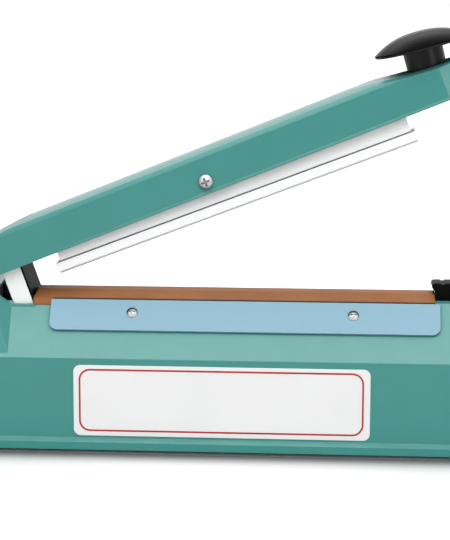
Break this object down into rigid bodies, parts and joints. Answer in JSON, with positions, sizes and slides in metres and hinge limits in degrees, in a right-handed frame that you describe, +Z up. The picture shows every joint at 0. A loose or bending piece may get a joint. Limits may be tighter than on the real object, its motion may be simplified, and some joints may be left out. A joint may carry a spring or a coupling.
{
  "type": "impulse sealer",
  "caption": "Teal hand impulse sealer with raised lever arm, black mushroom handle, aluminium press bar, brown release cloth, blue clamp plates and a timer dial on the end",
  "frame": {"origin": "on the table, centred under the base's outline (dial and gland included), at the underside of the rubber feet", "axes": "+X runs along the base from the hinge to the handle end, +Y from the labelled front to the rear, +Z up"},
  "size_m": [0.335, 0.082, 0.2202],
  "materials": {
    "teal_enamel": "hammer-free teal stove enamel on cast mouldings, satin with soft edge wear",
    "zinc_steel": "zinc plated sheet steel, dull grey",
    "black_rubber": "matte moulded rubber",
    "bright_steel": "bright nickel plated fasteners",
    "white_nylon": "natural nylon turnings",
    "spring_steel": "drawn spring wire",
    "mill_aluminium": "extruded aluminium, fine lengthwise draw lines",
    "ivory_insulation": "glass fibre strip and bobbin moulding",
    "nichrome": "rolled resistance ribbon",
    "brown_cloth": "woven glass cloth with brown non-stick coat",
    "blue_enamel": "light blue enamel on pressed sheet",
    "black_plastic": "black moulded plastic, fine grain",
    "terminal_brass": "stamped and turned brass",
    "core_steel": "varnished laminations",
    "copper_winding": "varnished copper wire under clear film",
    "board_green": "solder resist",
    "relay_blue": "relay case",
    "black_sleeve": "shrink sleeve and phenolic moulding",
    "scale_white": "printed scale disc",
    "red_lens": "tinted lamp lens",
    "red_button": "switch button",
    "white_plate": "white plated sheet steel",
    "knob_black": "moulded phenolic, satin gloss",
    "white_silicone": "white silicone strip"
  },
  "bodies": {
    "base": {"base_housing": "teal_enamel", "bottom_plate": "zinc_steel", "rubber_feet": "black_rubber", "bottom_screws": "bright_steel", "hinge_bracket": "zinc_steel", "hinge_pin": "bright_steel", "hinge_washers": "white_nylon", "bracket_screws": "bright_steel", "spring_anchor": "bright_steel", "seal_bar": "mill_aluminium", "insulating_strip": "ivory_insulation", "heating_ribbon": "nichrome", "release_cloth": "brown_cloth", "clamp_plate_front": "blue_enamel", "clamp_plate_rear": "blue_enamel", "clamp_screws": "bright_steel", "terminal_block": "black_plastic", "terminal_screw": "terminal_brass", "terminal_tab": "terminal_brass", "transformer_core": "core_steel", "transformer_bobbin": "ivory_insulation", "primary_winding": "copper_winding", "secondary_winding": "copper_winding", "transformer_strap": "zinc_steel", "transformer_screws": "bright_steel", "timer_board": "board_green", "board_posts": "white_nylon", "timer_relay": "relay_blue", "timing_capacitor": "black_sleeve", "potentiometer": "zinc_steel", "dial_nut": "bright_steel", "scale_plate": "scale_white", "indicator_lens": "red_lens", "lamp_holder": "black_plastic", "switch_body": "black_sleeve", "switch_screws": "bright_steel", "cord_bush": "black_plastic", "return_spring": "spring_steel"},
    "arm": {"arm_cover": "teal_enamel", "arm_frame": "zinc_steel", "arm_leg": "white_plate", "leg_guard": "black_plastic", "leg_rivets": "bright_steel", "tail_pin": "bright_steel", "handle_knob": "knob_black", "handle_bolt": "bright_steel", "handle_nut": "bright_steel", "rocker_screw": "bright_steel", "rocker_nut": "bright_steel", "rocker_sleeves": "white_nylon"},
    "press_bar": {"press_rail": "mill_aluminium", "press_strip": "white_silicone"},
    "switch_button": {"switch_plunger": "red_button"},
    "dial": {"timer_dial": "black_plastic", "dial_shaft": "bright_steel"}
  },
  "joints": [
    {"name": "arm_hinge", "type": "hinge", "parent": "base", "child": "arm", "pos_m": [-0.1132, 0, 0.101], "axis": [0, 1, 0], "range_deg": [0, 20.4], "stiffness_Nm_per_rad": 1.2, "springref_deg": -63.03, "deforming": ["return_spring"]},
    {"name": "press_bar_rock", "type": "hinge", "parent": "arm", "child": "press_bar", "pos_m": [-0.00681, 0, 0.1411], "axis": [0, 1, 0], "range_deg": [0, 0.58]},
    {"name": "switch_press", "type": "slide", "parent": "base", "child": "switch_button", "axis": [-1, 0, 0], "range_m": [0, 0.0006], "stiffness_N_per_m": 800, "springref_m": -0.0005},
    {"name": "timer_dial_turn", "type": "hinge", "parent": "base", "child": "dial", "pos_m": [0.1525, 0, 0.036], "axis": [1, 0, 0], "range_deg": [-135, 135]}
  ],
  "couplings": [
    {"joint": "press_bar_rock", "follows": "arm_hinge", "ratio": 0.02794}
  ]
}
